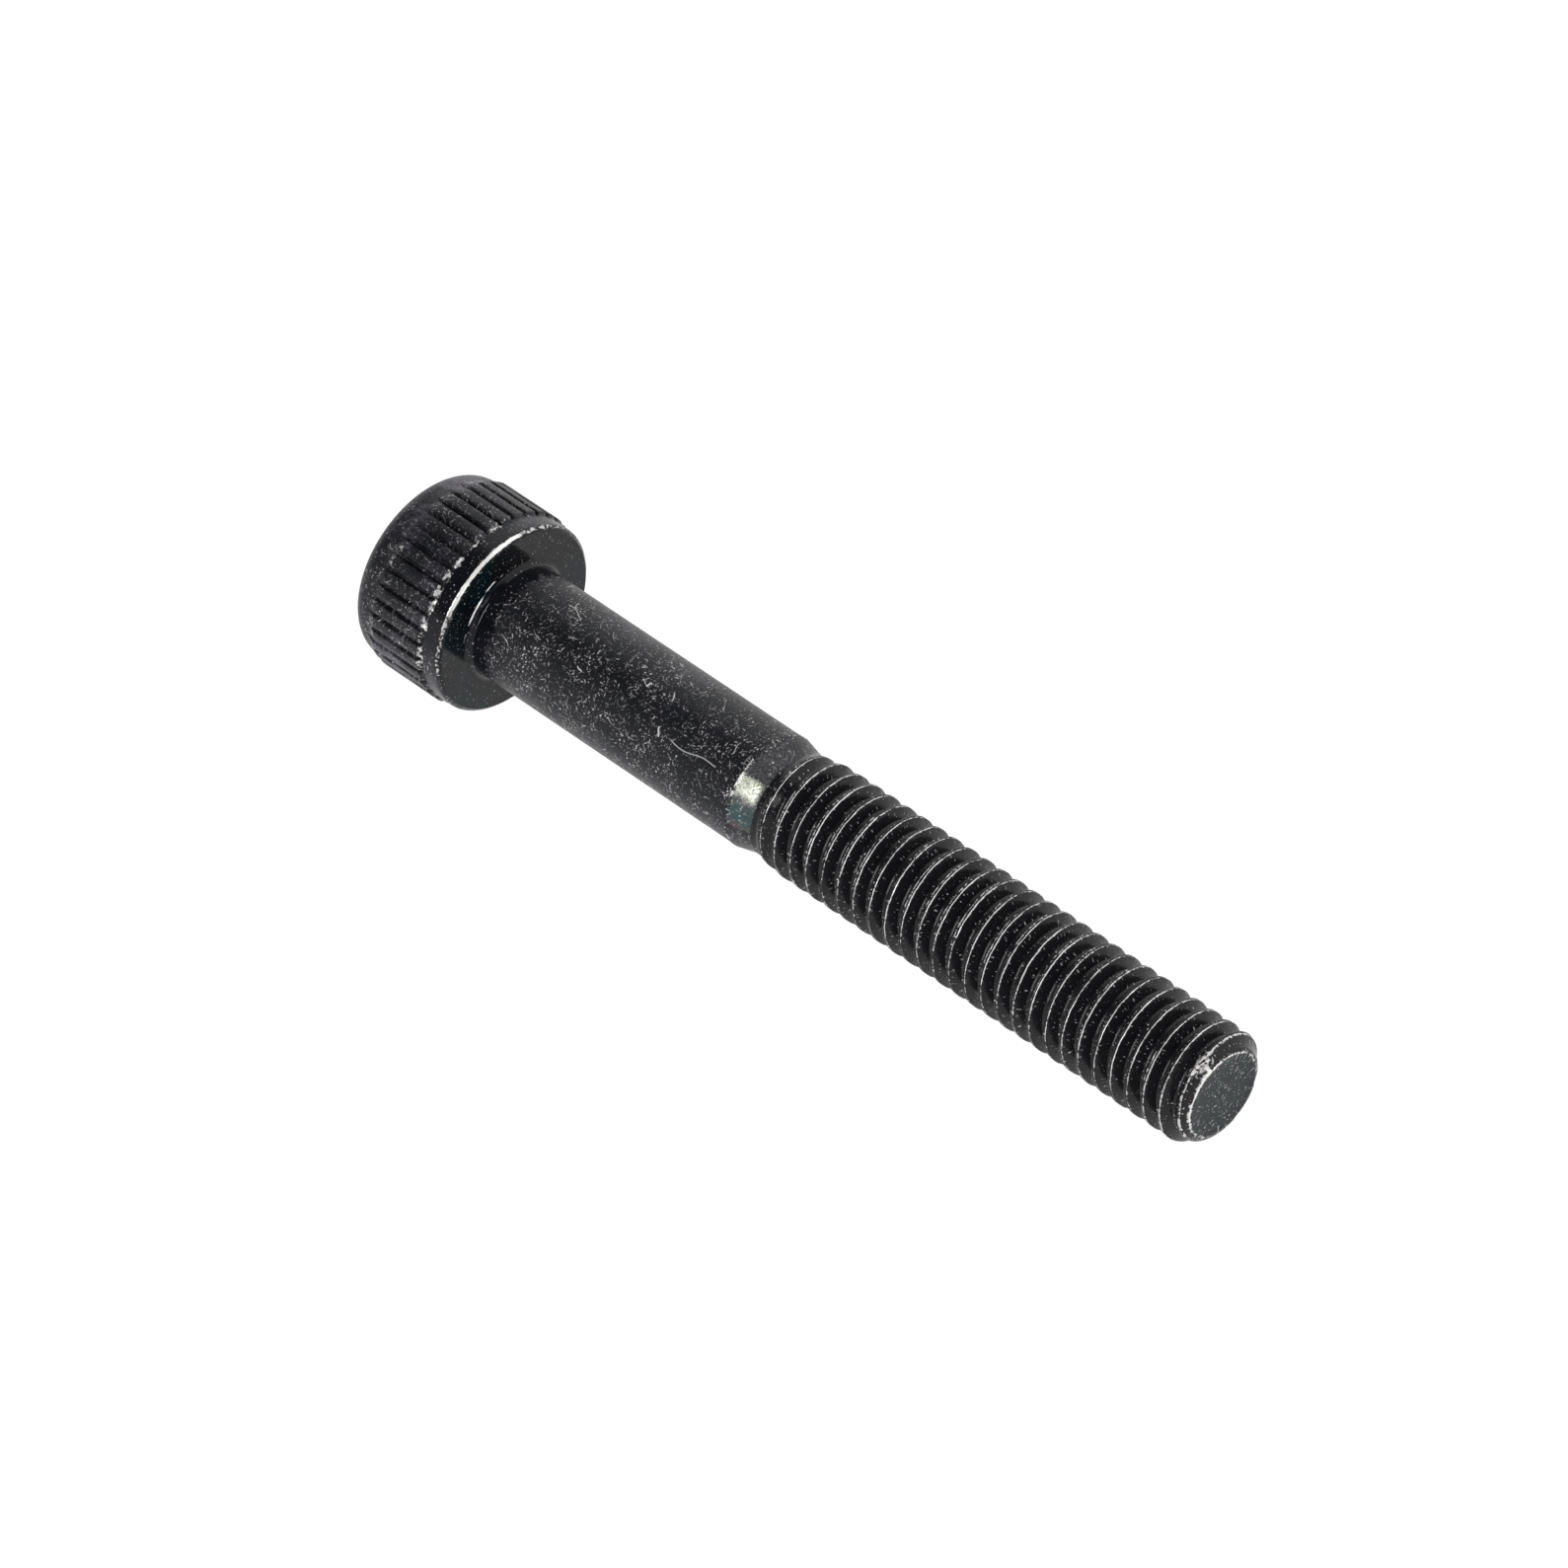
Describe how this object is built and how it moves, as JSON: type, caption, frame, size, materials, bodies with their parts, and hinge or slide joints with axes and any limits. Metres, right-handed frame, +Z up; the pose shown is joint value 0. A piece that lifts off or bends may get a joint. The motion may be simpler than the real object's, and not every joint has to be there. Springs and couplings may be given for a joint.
{
  "type": "socket head cap screw",
  "caption": "Hexagon socket head cap screw with a knurled head, a plain shank and a right-hand metric thread, in black oxide steel.",
  "frame": {"origin": "middle of the bounding box, on the screw's axis, 19.5 mm towards the point from the bearing face under the head", "axes": "+X along the screw's axis towards the point, head at -X; +Z up, with one knurl ridge at +Z and one at -Z; +Y completes the right-handed frame, with two socket corners on the Y axis"},
  "size_m": [0.051, 0.0102, 0.0102],
  "materials": {
    "black_oxide_steel": "black oxide, oiled, satin on the shank and glossy on the thread flanks, worn bright on some edges, dusty"
  },
  "bodies": {
    "root": {"socket_head_cap_screw": "black_oxide_steel"}
  },
  "joints": []
}
